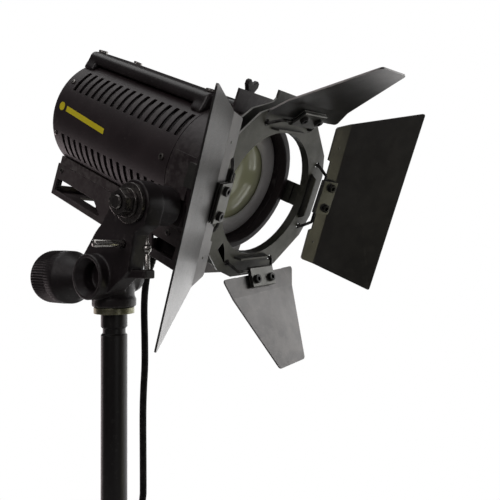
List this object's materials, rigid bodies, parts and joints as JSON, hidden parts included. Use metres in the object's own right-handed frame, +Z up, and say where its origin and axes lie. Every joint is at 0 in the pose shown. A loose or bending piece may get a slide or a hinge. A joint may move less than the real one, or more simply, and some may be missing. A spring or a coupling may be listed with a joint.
{
  "type": "fresnel spotlight",
  "caption": "Small focusing spotlight with hinged barndoor leaves on a turning ring, held by a one-sided tilt arm on a round stand riser, with a tied head cord.",
  "frame": {"origin": "centre of the riser's flat bottom end, where a stand holds it", "axes": "+Z up along the riser, +X the way the lamp points at pan 0 (it is tilted 23.5 degrees down at rest), the tilt arm on the -Y side"},
  "size_m": [0.2708, 0.219, 0.3985],
  "materials": {
    "pole_black": "satin",
    "casting_black": "matte",
    "housing_black": "matte",
    "handle_black": "satin",
    "knob_plastic": "matte",
    "cord_rubber": "matte",
    "washer_metal": "satin",
    "bright_steel": "satin",
    "dark_steel": "satin",
    "ring_black": "matte",
    "bezel_grey": "satin",
    "leaf_black": "matte",
    "bracket_black": "satin",
    "wire_black": "satin",
    "lens_glass": "polished",
    "bulb_glass": "polished",
    "mirror_metal": "polished",
    "socket_ceramic": "matte"
  },
  "bodies": {
    "riser": {"riser_tube": "pole_black"},
    "yoke": {"yoke_casting": "casting_black", "receiver_washer": "washer_metal", "cross_pin": "bright_steel", "keeper_post": "bright_steel", "friction_disc": "dark_steel", "lock_washer": "dark_steel"},
    "clamp": {"clamp_knob": "knob_plastic", "clamp_screw": "bright_steel"},
    "tilt_lock": {"tilt_lock_nut": "dark_steel"},
    "head": {"housing_shell": "housing_black", "heat_shield": "housing_black", "rear_cover": "housing_black", "lens_barrel": "housing_black", "front_rim": "housing_black", "lens_bezel": "bezel_grey", "front_lens": "lens_glass", "base_box": "housing_black", "guide_plate": "housing_black", "terminal_block": "knob_plastic", "saddle_rail": "housing_black", "cord_gland": "cord_rubber", "top_handle": "handle_black", "side_mount": "housing_black", "tilt_stud": "dark_steel", "holder_frame": "ring_black", "top_lug": "housing_black", "cord_tube": "cord_rubber", "cord_coil": "cord_rubber", "cord_plug": "knob_plastic"},
    "focus_carriage": {"focus_slider": "knob_plastic", "lamp_socket": "socket_ceramic", "halogen_bulb": "bulb_glass", "reflector_bowl": "mirror_metal"},
    "thumb": {"thumb_screw": "knob_plastic"},
    "ring": {"barndoor_ring": "ring_black"},
    "bail_far": {"bail_wire_far": "wire_black"},
    "leaf_far": {"leaf_far": "leaf_black", "leaf_bracket_far": "bracket_black"},
    "bail_top": {"bail_wire_top": "wire_black"},
    "leaf_top": {"leaf_top": "leaf_black", "leaf_bracket_top": "bracket_black"},
    "bail_near": {"bail_wire_near": "wire_black"},
    "leaf_near": {"leaf_near": "leaf_black", "leaf_bracket_near": "bracket_black"},
    "bail_bottom": {"bail_wire_bottom": "wire_black"},
    "leaf_bottom": {"leaf_bottom": "leaf_black", "leaf_bracket_bottom": "bracket_black"}
  },
  "joints": [
    {"name": "pan", "type": "hinge", "parent": "riser", "child": "yoke", "pos_m": [0, 0, 0.237], "axis": [0, 0, 1], "continuous": true},
    {"name": "clamp_turn", "type": "hinge", "parent": "yoke", "child": "clamp", "pos_m": [-0.04, 0, 0.236], "axis": [1, 0, 0], "range_deg": [-360, 45]},
    {"name": "tilt_lock_turn", "type": "hinge", "parent": "yoke", "child": "tilt_lock", "pos_m": [0.0328, -0.0217, 0.2799], "axis": [0, 1, 0], "range_deg": [-30, 180]},
    {"name": "tilt", "type": "hinge", "parent": "yoke", "child": "head", "pos_m": [0.0328, 0, 0.2799], "axis": [0, 1, 0], "range_deg": [-48, 45]},
    {"name": "focus", "type": "slide", "parent": "head", "child": "focus_carriage", "axis": [0.9171, 0, -0.3987], "range_m": [-0.019, 0.031]},
    {"name": "thumb_turn", "type": "hinge", "parent": "head", "child": "thumb", "pos_m": [0.06047, 0.0552, 0.34856], "axis": [0.3987, 0, 0.9171], "range_deg": [0, 360]},
    {"name": "ring_turn", "type": "hinge", "parent": "head", "child": "ring", "pos_m": [0.07658, 0.0552, 0.28704], "axis": [0.9171, 0, -0.3987], "continuous": true},
    {"name": "bail_far_turn", "type": "hinge", "parent": "ring", "child": "bail_far", "pos_m": [0.07869, 0.0981, 0.28939], "axis": [0.3978, -0.0698, 0.9148], "range_deg": [-15, 15]},
    {"name": "leaf_far_fold", "type": "hinge", "parent": "bail_far", "child": "leaf_far", "pos_m": [0.08403, 0.10199, 0.28736], "axis": [-0.3978, 0.0698, -0.9148], "range_deg": [-21.5, 73.5]},
    {"name": "bail_top_turn", "type": "hinge", "parent": "ring", "child": "bail_top", "pos_m": [0.0946, 0.0522, 0.32597], "axis": [-0.0278, -0.9976, -0.064], "range_deg": [-15, 15]},
    {"name": "leaf_top_fold", "type": "hinge", "parent": "bail_top", "child": "leaf_top", "pos_m": [0.10138, 0.05193, 0.32727], "axis": [0.0278, 0.9976, 0.064], "range_deg": [-47.3, 70.7]},
    {"name": "bail_near_turn", "type": "hinge", "parent": "ring", "child": "bail_near", "pos_m": [0.0763, 0.0123, 0.28389], "axis": [-0.3978, 0.0698, -0.9148], "range_deg": [-15, 15]},
    {"name": "leaf_near_fold", "type": "hinge", "parent": "bail_near", "child": "leaf_near", "pos_m": [0.08142, 0.00841, 0.28136], "axis": [0.3978, -0.0698, 0.9148], "range_deg": [-20.3, 74.7]},
    {"name": "bail_bottom_turn", "type": "hinge", "parent": "ring", "child": "bail_bottom", "pos_m": [0.06039, 0.0582, 0.2473], "axis": [0.0278, 0.9976, 0.064], "range_deg": [-15, 15]},
    {"name": "leaf_bottom_fold", "type": "hinge", "parent": "bail_bottom", "child": "leaf_bottom", "pos_m": [0.06406, 0.05847, 0.24146], "axis": [-0.0278, -0.9976, -0.064], "range_deg": [-40.6, 77.4]}
  ]
}
